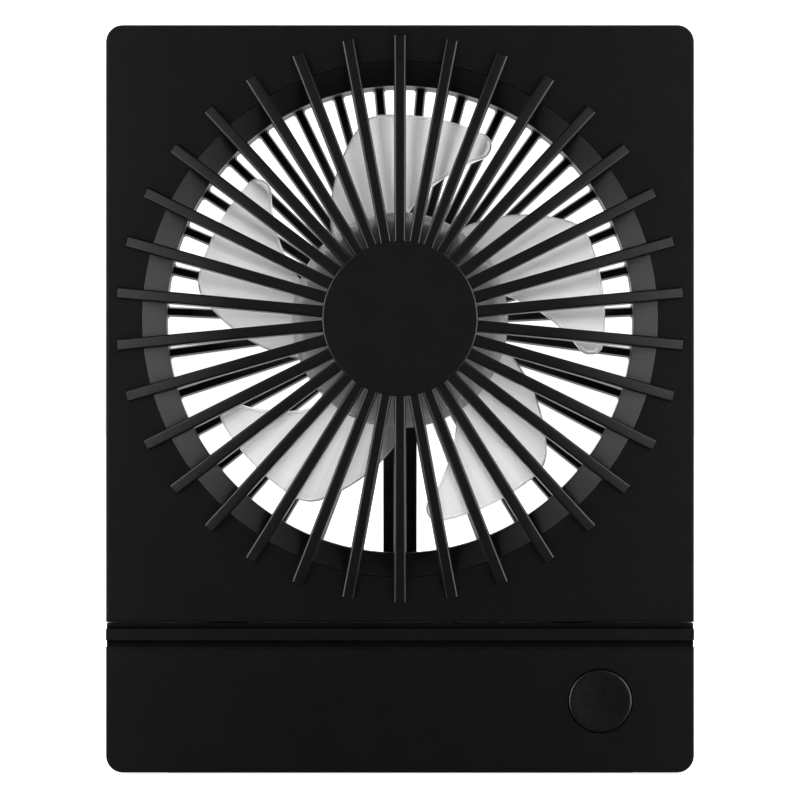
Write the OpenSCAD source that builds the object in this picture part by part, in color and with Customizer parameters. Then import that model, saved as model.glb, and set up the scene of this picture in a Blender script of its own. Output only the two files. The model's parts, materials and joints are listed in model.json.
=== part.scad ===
// Slim battery desk fan: a tilting head with a round grille on a low base.
// X runs to the right seen from the front, the front faces -Y, +Z is up.
// The origin is on the desk, under the middle of the bounding box.
// Inside front_plane() the second coordinate is the depth behind the front panel.

/* [Body] */
// Width of the head and the base
body_w = 146; // [130:1:180]
// Height of the whole fan, standing
body_h = 186; // [176:1:224]
// Thickness of the slab, from front panel to back
body_t = 26; // [26:0.5:32]
// Wall of the covers
wall = 2; // [1.6:0.1:2.4]
// Radius of the four outer corners
corner_r = 4.2; // [2:0.1:8]
// Height of the top of the base
base_top = 31.6; // [31.6:0.1:40]
// Fillet-sized chamfer on the front panel's outer edge
edge_c = 0.5; // [0.2:0.1:0.8]

/* [Grille] */
// Height of the fan's axis above the desk
axis_z = 113; // [112:0.5:118]
// Outer radius of the countersunk ring
ring_r = 64; // [63.5:0.5:66]
// Radius of the opening inside the ring
throat_r = 58.2; // [56:0.2:59]
// Depth of the countersink
ring_depth = 2.6; // [1.5:0.1:4]
// Radius at which the front ribs end on the panel
rib_end_r = 70.5; // [68:0.5:71]
// Number of front ribs
rib_count = 34; // [24:1:40]
// Width of a front rib at its face
rib_w = 2.7; // [2:0.1:3.5]
// Radius of the grille's centre disc
disc_r = 19.2; // [16:0.2:24]
// How far the centre disc stands out of the panel
dome_h = 4.5; // [3:0.1:8]
// How far the centre disc stands proud of the ribs
disc_step = 0.4; // [0.2:0.1:0.8]
// How far a rib stands out of the panel at its end
rib_proud = 0.8; // [0.5:0.1:1.5]
// Number of positions around the rear grille, one of them the duct bar
rear_rib_count = 35; // [25:1:41]
// Width of a rear rib
rear_rib_w = 2.3; // [1.5:0.1:3]
// Width of the duct bar in the rear grille
duct_w = 8.6; // [8:0.1:12]

/* [Impeller] */
// Radius of the blade tips
tip_r = 52; // [46:0.5:56]
// Radius of the impeller's hub
hub_r = 27.2; // [27:0.1:30]
// Number of blades
blade_count = 5; // [3:1:6]
// Angle that one blade covers
blade_span = 43; // [30:1:50]
// Sweep of the blade edges, in degrees for each millimetre of radius
blade_sweep = 1.2; // [0.4:0.1:1.5]
// Angle of the first blade's front edge at the hub, clockwise from the top
blade_start = 33; // [0:1:71]
// Thickness of a blade
blade_t = 1.2; // [0.8:0.1:2]
// Radius of the tip corner at a blade's front edge
front_corner_r = 10; // [4:0.5:12]
// Radius of the tip corner at a blade's back edge
back_corner_r = 3.2; // [1:0.1:3.4]

/* [Motor] */
// Outer radius of the rotor's steel yoke
yoke_r = 23.6; // [22:0.1:23.8]
// Radius of the motor shaft
shaft_r = 1.5; // [1:0.1:2]
// Outer radius of the ball bearings
bearing_r = 3; // [2.5:0.1:4]
// Width of a ball bearing
bearing_w = 2.5; // [2:0.1:3]
// Number of stator teeth
tooth_count = 9; // [6:3:12]

/* [Hinge] */
// Height of the strip that shows between the two grooves
strip_h = 2.8; // [2:0.1:4]
// Height of each groove
groove_h = 1.7; // [1.2:0.1:2.4]
// Depth of the grooves
groove_depth = 2; // [1:0.1:3]
// Radius of the hinge pins
pin_r = 1.2; // [1:0.1:1.4]
// Distance of each hinge from the middle
hinge_x = 44; // [38:1:52]

/* [Button] */
// Distance of the button from the middle
button_x = 49.7; // [44:0.1:50]
// Height of the button above the desk
button_z = 18.2; // [16:0.1:19]
// Radius of the button cap
button_r = 7.8; // [5:0.1:8]
// How far the button stands out of the panel
button_proud = 0.5; // [0.3:0.1:1]
// Travel of the button
button_travel = 0.8; // [0.4:0.1:1]

/* [Foot] */
// Half the width of the fold-out foot
foot_half_w = 55; // [40:1:55]
// Length of the foot from its pivot
foot_len = 26; // [20:0.5:26]
// Thickness of the foot
foot_t = 3.6; // [3:0.1:4]
// How far the rubber pads stand out of what they are set in
pad_proud = 0.4; // [0.2:0.1:0.8]

/* [Fits] */
// Gap between pieces that are fitted once and stay
fixed_gap = 0.15; // [0.1:0.05:0.25]
// Radial clearance of pins and shafts that turn
running_gap = 0.05; // [0.02:0.01:0.1]
// Gap between pieces that move past each other
moving_gap = 0.4; // [0.3:0.05:0.6]

/* [Hidden] */
$fn = 64;
eps = 0.01;
face_y = (dome_h - body_t) / 2;
split_d = body_t / 2;
back_in = body_t - wall;
head_z0 = base_top + 2 * groove_h + strip_h;
axis_to_panel = ring_r + fixed_gap;
// front grille
ring_wall = 1.6;
ring_back = 5.4;
rib_back_w = 3.1;
disc_wall = 1.6;
flat_r = 28;
rib_root_d = 0.3;
rib_back_d = ring_depth + 1;
dome_steps = 8;
// air duct around the blades
tunnel_r = throat_r + 1.6;
tunnel_wall = 1.6;
tunnel_out = tunnel_r + tunnel_wall;
tunnel_front = ring_back + fixed_gap;
tunnel_back = body_t - 3.6;
// rear grille: ring, ribs, motor seat and duct bar are one moulding
rear_flange_r = tunnel_out + 2;
rear_rib_front = body_t - 3.4;
rear_rib_back = body_t - 0.2;
seat_r = yoke_r + 0.6;
seat_d = body_t - 2.4;
seat_rim = 1.4;
seat_rim_d = body_t - 4.8;
duct_wall = 1.2;
lug_r = tunnel_out + 5.2;
lug_front = back_in - 7.6;
lug_t = 1.6;
// rotor
hub_front = 7.4;
hub_back = body_t - 5.6;
hub_wall = 1.4;
blade_front = 8.6;
blade_back = hub_back - 0.9;
blade_rows = 16;
blade_cols = 10;
inner_rows = 8;
tip_zone = 6;
root_r = hub_r - 0.3;
blade_slope = blade_sweep * tip_r * PI / 180;
blade_slant = sqrt(1 + blade_slope * blade_slope);
yoke_front = hub_front + hub_wall;
yoke_wall = 1.1;
yoke_back = hub_back - 1.2;
magnet_t = 2.5;
magnet_r = yoke_r - yoke_wall;
stator_r = magnet_r - magnet_t - 0.5;
stator_front = 12.6;
stator_t = 4.6;
tooth_w = 2.6;
board_d = yoke_back + 0.5;
board_t = 1.2;
tube_wall = 1.2;
tube_r = bearing_r + tube_wall;
tube_front = yoke_front + yoke_wall + 1.6;
bush_r = 3.2;
bearing_fit = 0.02;
cable_w = 4.8;
cable_t = 1;
shaft_back = body_t - 2.2;
clip_d = shaft_back - 0.8;
bearing_back_d = clip_d - 0.3 - bearing_w;
// hinge
barrel_r = (2 * groove_h + strip_h) / 2 - 0.3;
hinge_z = base_top + groove_h + strip_h / 2;
hinge_d = body_t - barrel_r - 0.2;
bar_top = head_z0 - moving_gap;
bar_back = hinge_d - barrel_r - 1.3;
knuckle_w = 10;
washer_t = 0.2;
window_w = knuckle_w + 2 * (washer_t + 2 * running_gap);
arm_t = 1.5;
arm_h = 19;
arm_front = hinge_d - barrel_r;
pin_half = knuckle_w / 2 + 7;
// screws
screw_r = 1.1;
screw_head_r = 2.1;
screw_fit = 0.02;
boss_r = 3;
head_boss_x = body_w / 2 - wall - 4.5;
head_boss_z0 = head_z0 + wall + 5.5;
head_boss_z1 = body_h - wall - 4.5;
base_boss_x = body_w / 2 - wall - 3.4;
base_boss_z0 = pad_proud + wall + 3.2;
base_boss_z1 = base_top - wall - 3.2;
boss_back = back_in - 2;
bar_screw_x = [body_w / 2 - 11, 22];
bar_screw_d = 10;
// base
recess_d = body_t - pad_proud - foot_t - moving_gap;
recess_wall = 1.8;
recess_x = foot_half_w + moving_gap;
pivot_d = body_t - pad_proud - foot_t / 2;
pivot_z = pad_proud + foot_t / 2;
foot_pin_r = 0.9;
foot_pad_size = [16, 5];
foot_pad_x = foot_half_w - 12;
foot_pad_depth = 0.6;
pcb_d = 9.4;
pcb_t = 1.6;
pcb_x0 = button_x - 25.5;
pcb_x1 = base_boss_x - boss_r - 1;
pcb_z0 = pad_proud + wall + 0.8;
pcb_z1 = base_top - wall - 2;
board_boss = [[pcb_x0 + 3, pcb_z0 + 3], [pcb_x0 + 3, pcb_z1 - 3], [pcb_x1 - 3, pcb_z1 - 3]];
socket_z = base_top / 2 - 2;
socket_w = 9;
socket_t = 3.2;
socket_x = body_w / 2 - 0.3;
switch_size = 6;
switch_front = pcb_d - 3.4;
plunger_front = switch_front - button_travel - moving_gap;
button_back = wall + moving_gap / 2;
flange_t = 1.0;
flange_r = button_r + 1.4;
stem_r = 2;
plunger_r = 1.7;
battery_t = 8;
battery_x0 = -pcb_x1;
battery_x1 = pcb_x0 - 4;
battery_z0 = pad_proud + wall + 0.6;
battery_z1 = base_top - wall - 3;
foam_t = 1;
pad_size = [body_w - 30, 14];
pad_depth = 1;
pad_d = 10;

// ---- functions ----

function arm_screw_z(i) = head_z0 + wall + 4 + 7 * i;

// Edge of the blade at a radius: the angle clockwise from the top.
function blade_edge(r) = blade_start + blade_sweep * (r - hub_r);

// Distance around the axis between a blade's swept edge and the rounding of its tip corner.
// The back corner (side = 1) is sharp and the front one (side = -1) is blunt.
function corner_gap(r, radius, side) =
    blade_slope * (r - tip_r) + radius * (blade_slope + side * blade_slant)
    - side * sqrt(max(0, radius * radius - pow(r - tip_r + radius, 2)));

// Share of the blade's angle that is left out at a radius, in degrees.
function corner_cut(r, radius, side) =
    r < tip_r - radius * (1 + side * blade_slope / blade_slant) ? 0
    : side * corner_gap(r, radius, side) / r * 180 / PI;

// Radius of a row of points: even, then closer together towards the tip.
function blade_r(i) = i < inner_rows ? root_r + (tip_r - tip_zone - root_r) * i / inner_rows
    : tip_r - tip_zone * (1 - sin(90 * (i - inner_rows) / (blade_rows - inner_rows)));

function blade_point(i, j, side) =
    let (r = blade_r(i),
         first = blade_edge(r) + corner_cut(r, front_corner_r, -1),
         last = blade_edge(r) + blade_span - corner_cut(r, back_corner_r, 1),
         a = first + (last - first) * j / blade_cols,
         turn = (a - blade_edge(r)) / blade_span,
         run = blade_back - blade_front - blade_t,
         d = blade_front + blade_t / 2 + run * (turn + 0.08 * sin(360 * turn)))
    [r * sin(a), d + side * blade_t / 2, r * cos(a)];

// ---- helpers ----

// Moves a piece that is drawn behind the front panel's plane into the fan's frame.
module front_plane() {
    translate([0, face_y, 0]) children();
}

// A front view outline, drawn in X and Z, made solid between two depths.
module slab(d0, d1) {
    translate([0, d1, 0]) rotate([90, 0, 0]) linear_extrude(d1 - d0) children();
}

// A profile of radius and depth, turned around the fan's axis.
module turned() {
    translate([0, 0, axis_z]) rotate([-90, 0, 0]) rotate_extrude($fn = 128) children();
}

// A round bar along the depth, at a place in the front view.
module peg(x, z, r, d0, d1) {
    translate([x, d0, z]) rotate([-90, 0, 0]) cylinder(h = d1 - d0, r = r);
}

// A ring on the fan's axis.
module ring(r_in, r_out, d0, d1) {
    difference() {
        peg(0, axis_z, r_out, d0, d1);
        peg(0, axis_z, r_in, d0 - 1, d1 + 1);
    }
}

// A round bar along X.
module cross_pin(x0, x1, d, z, r) {
    translate([x0, d, z]) rotate([0, 90, 0]) cylinder(h = x1 - x0, r = r);
}

// A box given by its two corners.
module block(x, d, z) {
    translate([x[0], d[0], z[0]]) cube([x[1] - x[0], d[1] - d[0], z[1] - z[0]]);
}

// Places a child at an angle around the fan's axis, clockwise from the top.
module around(angle) {
    translate([0, 0, axis_z]) rotate([0, angle, 0]) children();
}

// A screw along the depth with its head at the back (turn = 1) or the front (turn = -1).
module depth_screw(x, z, head_d, length, turn = 1) {
    translate([x, head_d, z]) rotate([90 * turn, 0, 0]) {
        cylinder(h = 1.4, r = screw_head_r);
        cylinder(h = length, r = screw_r);
    }
}

// ---- head ----

// Head outline: square at the hinge, rounded at the top.
module head_outline(inset = 0) {
    r = max(corner_r - inset, 1);
    w = body_w - 2 * inset;
    z0 = head_z0 + inset;
    z1 = body_h - inset;
    translate([-w / 2, z0]) square([w, z1 - z0 - r]);
    translate([r - w / 2, z0]) square([w - 2 * r, z1 - z0]);
    for (side = [-1, 1]) translate([side * (w / 2 - r), z1 - r]) circle(r);
}

module head_boss_places() {
    for (x = [-head_boss_x, head_boss_x])
        for (z = [head_boss_z0, head_boss_z1])
            translate([x, 0, z]) children();
}

module head_front_cover() {
    color("#1b1b1c") front_plane() difference() {
        union() {
            difference() {
                union() {
                    slab(0, edge_c) head_outline(edge_c);
                    slab(edge_c, split_d) head_outline();
                }
                slab(wall, split_d + 1) head_outline(wall);
            }
            head_boss_places() peg(0, 0, boss_r, wall - eps, boss_back);
        }
        peg(0, axis_z, axis_to_panel, -1, wall + 1);
        head_boss_places() peg(0, 0, screw_r + screw_fit, boss_back - 9, boss_back + 1);
    }
}

// The ribs' section along the radius: dome in front, ring and panel behind.
module rib_profile() {
    rib_front = disc_step - dome_h;
    fall = -rib_front - rib_proud;
    run = rib_end_r - flat_r;
    polygon(concat(
        [[disc_r - disc_wall, rib_front]],
        [for (i = [0:dome_steps]) let (t = i / dome_steps) [flat_r + t * run, fall * t * t + rib_front]],
        [[rib_end_r, 0], [ring_r, 0], [throat_r, ring_depth], [throat_r, rib_back_d],
         [disc_r - disc_wall, rib_root_d]]));
}

module front_rib(angle) {
    around(angle) translate([0, 0, disc_r - disc_wall]) linear_extrude(rib_end_r - disc_r + disc_wall)
        polygon([[-rib_w / 2, -dome_h - 1], [rib_w / 2, -dome_h - 1],
                 [rib_back_w / 2, rib_back_d + 1], [-rib_back_w / 2, rib_back_d + 1]]);
}

module front_grille() {
    color("#1b1b1c") front_plane() union() {
        turned() polygon([[ring_r, 0], [throat_r, ring_depth], [throat_r, ring_back],
                          [throat_r + ring_wall, ring_back], [throat_r + ring_wall, ring_depth + 1.6],
                          [ring_r - ring_wall, 2.6], [ring_r - ring_wall, ring_back], [ring_r, ring_back]]);
        turned() polygon([[0, -dome_h], [disc_r - 0.4, -dome_h], [disc_r, 0.4 - dome_h],
                          [disc_r, rib_root_d], [disc_r - disc_wall, rib_root_d],
                          [disc_r - disc_wall, 2 - dome_h], [0, 2 - dome_h]]);
        intersection() {
            turned() rib_profile();
            for (i = [0:rib_count - 1]) front_rib(i * 360 / rib_count);
        }
        // snap tabs that hold the grille behind the panel
        for (a = [0:3]) around(45 + 90 * a)
            block([-6, 6], [wall + fixed_gap, wall + 1.8], [ring_r - 1, ring_r + 1.2]);
    }
}

module head_rear_cover() {
    lip = 0.9;
    color("#19191a") front_plane() difference() {
        union() {
            difference() {
                union() {
                    slab(split_d, body_t - edge_c) head_outline();
                    slab(body_t - edge_c, body_t) head_outline(edge_c);
                    slab(split_d - 1.5, split_d + 1) head_outline(wall + fixed_gap);
                }
                slab(split_d - 2, split_d + 1) head_outline(wall + fixed_gap + lip);
                slab(split_d + 1 - eps, back_in) head_outline(wall);
            }
            head_boss_places() peg(0, 0, boss_r, boss_back + fixed_gap, back_in + eps);
            lug_places() peg(0, 0, boss_r - 0.2, lug_front + lug_t, back_in + eps);
            for (s = [-1, 1]) for (z = [0, 1])
                peg(s * hinge_x, arm_screw_z(z), boss_r - 0.4, arm_front + arm_t, back_in + eps);
        }
        peg(0, axis_z, tunnel_out + fixed_gap, split_d, body_t + 1);
        head_boss_places() {
            peg(0, 0, screw_r + 0.15, boss_back - 1, body_t + 1);
            peg(0, 0, screw_head_r + fixed_gap, body_t - 1.6, body_t + 1);
        }
        lug_places() peg(0, 0, screw_r + screw_fit, lug_front, back_in);
        for (s = [-1, 1]) {
            for (z = [0, 1])
                peg(s * hinge_x, arm_screw_z(z), screw_r + screw_fit, arm_front, back_in);
            translate([s * hinge_x, 0, 0]) block([-knuckle_w / 2 - 0.3, knuckle_w / 2 + 0.3],
                [arm_front - 0.3, arm_front + arm_t + 0.3], [head_z0 - 1, head_z0 + wall + 1]);
        }
        cable_hole(head_z0 - 1, head_z0 + wall + 1);
    }
}

module rear_rib(angle) {
    around(angle) translate([0, 0, seat_r - 1]) linear_extrude(tunnel_r - seat_r + 1.5)
        polygon([[-rear_rib_w / 2 + 0.3, rear_rib_front], [rear_rib_w / 2 - 0.3, rear_rib_front],
                 [rear_rib_w / 2, rear_rib_front + 0.6], [rear_rib_w / 2, rear_rib_back],
                 [-rear_rib_w / 2, rear_rib_back], [-rear_rib_w / 2, rear_rib_front + 0.6]]);
}

module lug_places() {
    for (a = [45:90:315]) around(a) translate([0, 0, lug_r]) children();
}

// Tube around the blades. Its lugs screw to the back cover and clamp the rear grille.
module air_duct() {
    color("#171718") front_plane() difference() {
        union() {
            ring(tunnel_r, tunnel_out, tunnel_front, tunnel_back);
            for (a = [45:90:315]) around(a)
                block([-boss_r, boss_r], [lug_front, lug_front + lug_t], [tunnel_r + 0.4, lug_r]);
            lug_places() peg(0, 0, boss_r, lug_front, lug_front + lug_t);
        }
        lug_places() peg(0, 0, screw_r + 0.1, lug_front - 1, lug_front + lug_t + 1);
    }
}

module rear_grille() {
    spokes = rear_rib_count - 1;
    color("#171718") front_plane() difference() {
        union() {
            ring(tunnel_r, tunnel_out, tunnel_back, body_t);
            ring(tunnel_out - eps, rear_flange_r, tunnel_back, back_in);
            peg(0, axis_z, seat_r, seat_d, body_t);
            ring(seat_r - seat_rim, seat_r, seat_rim_d, seat_d + eps);
            peg(0, axis_z, tube_r + 1.6, seat_d - 2.4, seat_d + eps);
            for (i = [0:spokes - 1]) rear_rib((i - (spokes - 1) / 2) * 360 / rear_rib_count);
            block([-duct_w / 2, duct_w / 2], [rear_rib_front, body_t],
                  [axis_z - tunnel_r - 0.8, axis_z - seat_r + 1]);
            for (a = [60:120:300]) around(a) translate([0, 0, 14])
                peg(0, 0, 1.5, board_d + board_t, seat_d + eps);
        }
        // seat for the bearing tube, and the cable's way through the duct bar
        peg(0, axis_z, tube_r, seat_d - 3, body_t - 1);
        block([duct_wall - duct_w / 2, duct_w / 2 - duct_wall], [seat_rim_d - 2, body_t - duct_wall],
              [axis_z - rear_flange_r - 1, axis_z - seat_r + 6]);
    }
}

// Lid of the cable duct, on the side of the impeller.
module duct_cover() {
    color("#1a1a1b") front_plane()
        block([-duct_w / 2, duct_w / 2], [rear_rib_front - 0.9, rear_rib_front],
              [axis_z - tunnel_r + 0.5, axis_z - seat_r - 0.3]);
}

module head_screws() {
    color("#8c8f92") front_plane() head_boss_places() depth_screw(0, 0, body_t - 0.2, 11, 1);
}

module duct_screws() {
    color("#8c8f92") front_plane() lug_places() depth_screw(0, 0, lug_front - 1.4, 8, -1);
}

// Steel arms that carry the head: a knuckle around the pin and a leaf inside the head.
module hinge_arms() {
    color("#9a9da0") front_plane() for (s = [-1, 1]) translate([s * hinge_x, 0, 0]) difference() {
        union() {
            cross_pin(-knuckle_w / 2, knuckle_w / 2, hinge_d, hinge_z, barrel_r);
            block([-knuckle_w / 2, knuckle_w / 2], [arm_front, arm_front + arm_t],
                  [hinge_z, hinge_z + arm_h]);
        }
        cross_pin(-knuckle_w, knuckle_w, hinge_d, hinge_z, pin_r + running_gap);
        for (z = [0, 1]) peg(0, arm_screw_z(z), screw_r + 0.1, arm_front - 1, arm_front + arm_t + 1);
    }
}

module arm_screws() {
    color("#8c8f92") front_plane()
        for (s = [-1, 1]) for (z = [0, 1]) depth_screw(s * hinge_x, arm_screw_z(z), arm_front - 1.4, 5, -1);
}

// ---- motor, on the rear grille ----

module bearing_tube() {
    shoulder = shaft_r + 0.5;
    color("#b5a067") front_plane() difference() {
        peg(0, axis_z, tube_r, tube_front, body_t - 1.2);
        peg(0, axis_z, shoulder, tube_front - 1, body_t);
        peg(0, axis_z, bearing_r, tube_front - 1, tube_front + bearing_w);
        peg(0, axis_z, bearing_r, bearing_back_d, body_t);
    }
}

module bearing_front() {
    color("#b9bcc0") front_plane()
        ring(shaft_r + bearing_fit, bearing_r, tube_front, tube_front + bearing_w);
}

module bearing_rear() {
    color("#b9bcc0") front_plane()
        ring(shaft_r + bearing_fit, bearing_r, bearing_back_d, bearing_back_d + bearing_w);
}

module stator_outline() {
    tip_w = 2 * PI * stator_r / tooth_count - 2;
    difference() {
        union() {
            circle(tube_r + 3);
            for (i = [0:tooth_count - 1]) rotate(i * 360 / tooth_count) {
                translate([-tooth_w / 2, tube_r + 1]) square([tooth_w, stator_r - tube_r - 1.8]);
                intersection() {
                    difference() {
                        circle(stator_r);
                        circle(stator_r - 1.4);
                    }
                    translate([-tip_w / 2, 1]) square([tip_w, stator_r]);
                }
            }
        }
        circle(tube_r);
    }
}

module stator_core() {
    color("#5d6065") front_plane() translate([0, 0, axis_z])
        slab(stator_front, stator_front + stator_t) stator_outline();
}

module stator_coils() {
    coil_r0 = tube_r + 3.6;
    coil_r1 = stator_r - 2;
    color("#b4622d") front_plane()
        for (i = [0:tooth_count - 1]) around(i * 360 / tooth_count) difference() {
            block([-2.5, 2.5], [stator_front - 1.2, stator_front + stator_t + 1.2], [coil_r0, coil_r1]);
            block([-tooth_w / 2, tooth_w / 2], [stator_front, stator_front + stator_t], [0, stator_r]);
        }
}

module motor_board() {
    color("#1f5a3a") front_plane() ring(tube_r, seat_r - seat_rim - 0.6, board_d, board_d + board_t);
}

// Flat cable: down the duct bar, through the duct wall and forward to the hole above the hinge bar.
module motor_cable() {
    top_z = axis_z - seat_r + 2.6;
    low_z = head_z0 + wall + 3;
    cable_back = back_in - 0.35;
    hole_d = bar_back - 2.4;
    color("#2a2a2c") front_plane() {
        flat_cable([board_d + board_t, cable_back], [top_z, top_z + 3]);
        flat_cable([cable_back - cable_t, cable_back], [low_z, top_z + eps]);
        flat_cable([hole_d - cable_t / 2, cable_back], [low_z, low_z + cable_t]);
        flat_cable([hole_d - cable_t / 2, hole_d + cable_t / 2], [head_z0, low_z + eps]);
    }
}

module flat_cable(d, z) {
    block([-cable_w / 2, cable_w / 2], d, z);
}

// ---- rotor ----

module blade() {
    n = blade_cols + 1;
    m = blade_rows + 1;
    half = n * m;
    points = [for (side = [-1, 1]) for (i = [0:blade_rows]) for (j = [0:blade_cols])
                  blade_point(i, j, side)];
    faces = concat(
        [for (i = [0:blade_rows - 1]) for (j = [0:blade_cols - 1]) each
            [[i * n + j, (i + 1) * n + j, (i + 1) * n + j + 1],
             [i * n + j, (i + 1) * n + j + 1, i * n + j + 1]]],
        [for (i = [0:blade_rows - 1]) for (j = [0:blade_cols - 1]) each
            [[half + i * n + j, half + (i + 1) * n + j + 1, half + (i + 1) * n + j],
             [half + i * n + j, half + i * n + j + 1, half + (i + 1) * n + j + 1]]],
        [for (i = [0:blade_rows - 1]) each
            [[i * n, half + i * n, half + (i + 1) * n], [i * n, half + (i + 1) * n, (i + 1) * n]]],
        [for (i = [0:blade_rows - 1]) let (e = i * n + blade_cols, f = (i + 1) * n + blade_cols) each
            [[e, half + f, half + e], [e, f, half + f]]],
        [for (j = [0:blade_cols - 1]) each
            [[j, half + j + 1, half + j], [j, j + 1, half + j + 1]]],
        [for (j = [0:blade_cols - 1]) let (e = blade_rows * n + j) each
            [[e, half + e, half + e + 1], [e, half + e + 1, e + 1]]]);
    polyhedron(points, faces);
}

// Hub of the impeller. Its blades are moulded on in one piece, and are kept as a node of their own.
module impeller_hub() {
    pocket_r = yoke_r + running_gap;
    color("#e4e7ea") front_plane()
        turned() polygon([[bush_r, hub_front], [hub_r - 2.6, hub_front],
                          [hub_r, hub_front + 1.2], [hub_r, hub_back],
                          [hub_r - hub_wall, hub_back], [hub_r - hub_wall, yoke_front], [pocket_r + 1, yoke_front],
                          [pocket_r + 1, yoke_back - 1], [pocket_r, yoke_back - 1], [pocket_r, yoke_front],
                          [bush_r, yoke_front]]);
}

module impeller_blades() {
    color("#e4e7ea") front_plane() for (i = [0:blade_count - 1]) around(i * 360 / blade_count) blade();
}

module rotor_yoke() {
    color("#a7abaf") front_plane()
        turned() polygon([[bush_r, yoke_front], [yoke_r, yoke_front],
                          [yoke_r, yoke_back], [magnet_r, yoke_back],
                          [magnet_r, yoke_front + yoke_wall], [bush_r, yoke_front + yoke_wall]]);
}

module rotor_magnet() {
    color("#4b4a4d") front_plane()
        ring(magnet_r - magnet_t, magnet_r, yoke_front + yoke_wall + 0.4, yoke_back - 0.3);
}

module hub_bush() {
    color("#b5a067") front_plane() ring(shaft_r, bush_r, hub_front, tube_front - 0.6);
}

module motor_shaft() {
    color("#c4c8cc") front_plane() difference() {
        peg(0, axis_z, shaft_r, hub_front + 0.3, shaft_back);
        ring(shaft_r - 0.4, shaft_r + 1, clip_d, clip_d + 0.45);
    }
}

module shaft_clip() {
    color("#8c8f92") front_plane() difference() {
        ring(shaft_r - 0.4, shaft_r + 0.9, clip_d + 0.02, clip_d + 0.43);
        block([-0.7, 0.7], [0, body_t], [axis_z, axis_z + 5]);
    }
}

// ---- hinge between the base and the head ----

module hinge_bar() {
    color("#1b1b1c") front_plane() difference() {
        union() {
            block([-body_w / 2, body_w / 2], [groove_depth, bar_back], [base_top, bar_top]);
            block([-body_w / 2, body_w / 2], [0, groove_depth + eps],
                  [base_top + groove_h, base_top + groove_h + strip_h]);
            block([-body_w / 2, body_w / 2], [bar_back - eps, hinge_d],
                  [hinge_z - barrel_r + 0.6, hinge_z + barrel_r - 0.6]);
            cross_pin(-body_w / 2, body_w / 2, hinge_d, hinge_z, barrel_r);
        }
        for (s = [-1, 1]) {
            translate([s * hinge_x, 0, 0])
                block([-window_w / 2, window_w / 2], [bar_back, body_t + 1], [base_top - 1, head_z0 + 1]);
            cross_pin(s * hinge_x - pin_half, s * hinge_x + pin_half, hinge_d, hinge_z, pin_r);
            for (x = bar_screw_x)
                translate([s * x, bar_screw_d, base_top - 1]) cylinder(h = 4.6, r = screw_r + screw_fit);
        }
        cable_hole(base_top - 1, head_z0 + 1);
    }
}

module bar_screws() {
    color("#8c8f92") front_plane() for (s = [-1, 1]) for (x = bar_screw_x)
        translate([s * x, bar_screw_d, base_top - wall - 1.4]) {
            cylinder(h = 1.4, r = screw_head_r);
            cylinder(h = wall + 4.6, r = screw_r);
        }
}

module hinge_pins() {
    color("#b9bcc0") front_plane()
        for (s = [-1, 1])
            cross_pin(s * hinge_x - pin_half, s * hinge_x + pin_half, hinge_d, hinge_z, pin_r);
}

module friction_washers() {
    color("#b5a067") front_plane() for (s = [-1, 1]) for (e = [-1, 1])
        translate([s * hinge_x + e * (knuckle_w / 2 + running_gap + washer_t / 2), 0, 0]) difference() {
            cross_pin(-washer_t / 2, washer_t / 2, hinge_d, hinge_z, barrel_r - 0.3);
            cross_pin(-washer_t, washer_t, hinge_d, hinge_z, pin_r);
        }
}

// ---- base ----

// Base outline: rounded at the desk, square at the hinge.
module base_outline(inset = 0) {
    r = max(corner_r - inset, 1);
    w = body_w - 2 * inset;
    z0 = pad_proud + inset;
    z1 = base_top - inset;
    translate([-w / 2, z0 + r]) square([w, z1 - z0 - r]);
    translate([r - w / 2, z0]) square([w - 2 * r, z1 - z0]);
    for (side = [-1, 1]) translate([side * (w / 2 - r), z0 + r]) circle(r);
}

module base_boss_places() {
    for (x = [-base_boss_x, base_boss_x])
        for (z = [base_boss_z0, base_boss_z1])
            translate([x, 0, z]) children();
}

// Flat tube with round ends along X, the shape of the charging socket.
module socket_shape(x0, x1, gap) {
    r = socket_t / 2 + gap;
    half = (socket_w - socket_t) / 2;
    d = pcb_d - socket_t / 2;
    for (e = [-1, 1]) cross_pin(x0, x1, d, socket_z + e * half, r);
    block([x0, x1], [d - r, d + r], [socket_z - half, socket_z + half]);
}

module pad_pocket(gap) {
    block([-pad_size[0] / 2 - gap, pad_size[0] / 2 + gap],
          [pad_d - pad_size[1] / 2 - gap, pad_d + pad_size[1] / 2 + gap],
          [0, pad_proud + pad_depth + gap]);
}

module base_front_cover() {
    color("#1b1b1c") front_plane() difference() {
        union() {
            difference() {
                union() {
                    slab(0, edge_c) base_outline(edge_c);
                    slab(edge_c, split_d) base_outline();
                }
                slab(wall, split_d + 1) base_outline(wall);
            }
            base_boss_places() peg(0, 0, boss_r - 0.2, wall - eps, boss_back);
            for (p = board_boss) peg(p[0], p[1], boss_r - 0.6, wall - eps, pcb_d);
            ring_at(button_x, button_z, flange_r + moving_gap, flange_r + moving_gap + 1.2, wall - eps, wall + 3);
        }
        peg(button_x, button_z, button_r + 0.3, -1, wall + 1);
        pad_pocket(0);
        base_boss_places() peg(0, 0, screw_r + screw_fit, boss_back - 9, boss_back + 1);
        for (p = board_boss) peg(p[0], p[1], screw_r + screw_fit, pcb_d - 5, pcb_d + 1);
        socket_shape(body_w / 2 - wall - 1, body_w / 2 + 1, fixed_gap);
        for (s = [-1, 1]) for (x = bar_screw_x)
            translate([s * x, bar_screw_d, base_top - wall - 1]) cylinder(h = wall + 2, r = screw_r + 0.1);
    }
}

// A ring along the depth, at a place in the front view.
module ring_at(x, z, r_in, r_out, d0, d1) {
    difference() {
        peg(x, z, r_out, d0, d1);
        peg(x, z, r_in, d0 - 1, d1 + 1);
    }
}

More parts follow.
